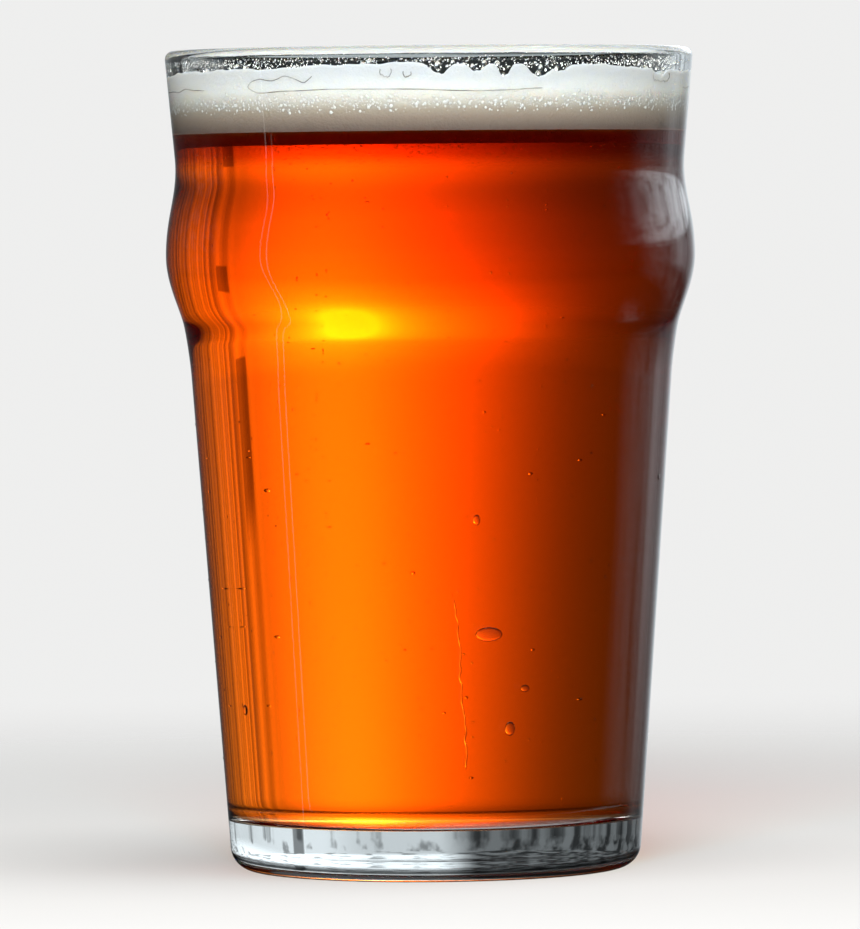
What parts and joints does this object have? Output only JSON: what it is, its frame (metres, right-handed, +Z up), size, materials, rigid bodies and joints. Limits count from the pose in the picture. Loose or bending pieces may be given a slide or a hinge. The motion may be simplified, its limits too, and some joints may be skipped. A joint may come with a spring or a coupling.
{
  "type": "pint of beer",
  "caption": "Clear bulged pub glass with a thick foot, filled with amber ale under a head of cream foam that clings to the wall below the rim.",
  "frame": {"origin": "centre of the glass's foot, on the table", "axes": "+Z up along the axis of the glass, towards the rim; the pictured side faces -Y, with +X to its right"},
  "size_m": [0.0892, 0.0892, 0.138],
  "materials": {
    "glass": "clear and polished",
    "beer": "clear amber liquid",
    "foam": "soft cream foam of fine bubbles"
  },
  "bodies": {
    "root": {"glass": "glass", "beer": "beer", "foam": "foam"}
  },
  "joints": []
}
